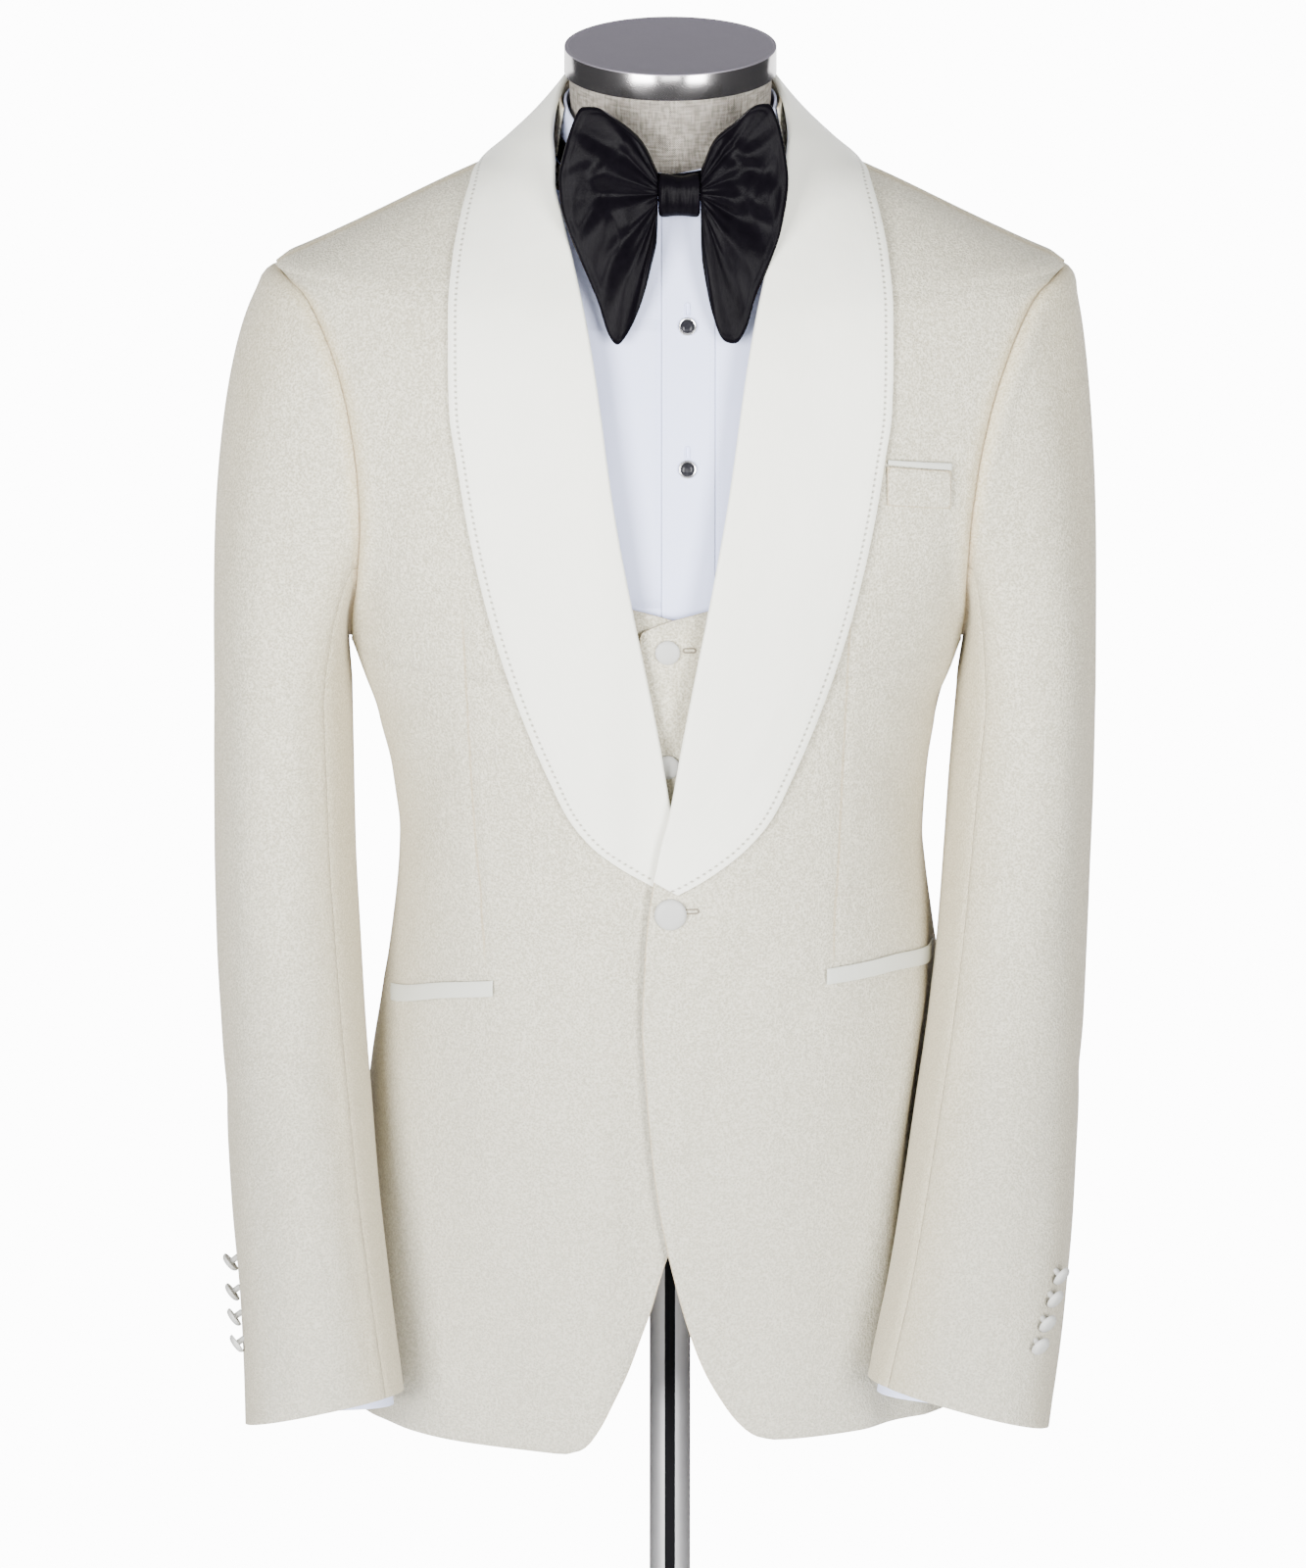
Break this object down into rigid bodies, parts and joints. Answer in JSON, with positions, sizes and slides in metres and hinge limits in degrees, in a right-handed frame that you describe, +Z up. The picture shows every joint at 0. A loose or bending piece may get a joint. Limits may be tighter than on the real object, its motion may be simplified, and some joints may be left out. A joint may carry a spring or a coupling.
{
  "type": "tuxedo on dress form",
  "caption": "Shawl-collar dinner jacket over a low waistcoat, dress shirt and bow tie, worn by a limbless dress form on a pole with a round foot.",
  "frame": {"origin": "centre of the round foot's underside, on the pole's axis", "axes": "+Z up, -Y towards the wearer's front, +X towards the wearer's left"},
  "size_m": [0.5098, 0.334, 1.5704],
  "materials": {
    "jacquard": "ivory jacquard with a fine mottled crinkle, soft sheen",
    "satin_ivory": "ivory satin",
    "shirting": "matt white cotton",
    "satin_black": "black satin",
    "linen": "coarse natural linen",
    "steel": "polished chrome",
    "stud_black": "glossy black with a silver rim"
  },
  "bodies": {
    "root": {"base_plate": "steel", "pole_socket": "steel", "pole": "steel", "neck_cap": "steel", "form_torso": "linen", "jacket_front_left": "jacquard", "jacket_front_right": "jacquard", "jacket_back_left": "jacquard", "jacket_back_right": "jacquard", "sleeve_top_left": "jacquard", "sleeve_top_right": "jacquard", "sleeve_under_left": "jacquard", "sleeve_under_right": "jacquard", "collar_stand": "jacquard", "breast_welt": "jacquard", "waistcoat_front_left": "jacquard", "waistcoat_front_right": "jacquard", "waistcoat_back": "jacquard", "waistcoat_strap_left": "jacquard", "waistcoat_strap_right": "jacquard", "lapel_left": "satin_ivory", "lapel_right": "satin_ivory", "breast_welt_trim": "satin_ivory", "hip_welt_left": "satin_ivory", "hip_welt_right": "satin_ivory", "jacket_button": "satin_ivory", "cuff_button_left_1": "satin_ivory", "cuff_button_left_2": "satin_ivory", "cuff_button_left_3": "satin_ivory", "cuff_button_left_4": "satin_ivory", "cuff_button_right_1": "satin_ivory", "cuff_button_right_2": "satin_ivory", "cuff_button_right_3": "satin_ivory", "cuff_button_right_4": "satin_ivory", "waistcoat_button_1": "satin_ivory", "waistcoat_button_2": "satin_ivory", "waistcoat_button_3": "satin_ivory", "waistcoat_button_4": "satin_ivory", "shirt_front_left": "shirting", "shirt_front_right": "shirting", "shirt_back": "shirting", "shirt_placket": "shirting", "shirt_collar": "shirting", "shirt_sleeve_left": "shirting", "shirt_sleeve_right": "shirting", "shirt_cuff_left": "shirting", "shirt_cuff_right": "shirting", "bow_knot": "satin_black", "bow_neck_band": "satin_black", "bow_wing_left": "satin_black", "bow_wing_right": "satin_black", "bow_back_wing_left": "satin_black", "bow_back_wing_right": "satin_black", "shirt_stud_1": "stud_black", "shirt_stud_2": "stud_black"}
  },
  "joints": []
}
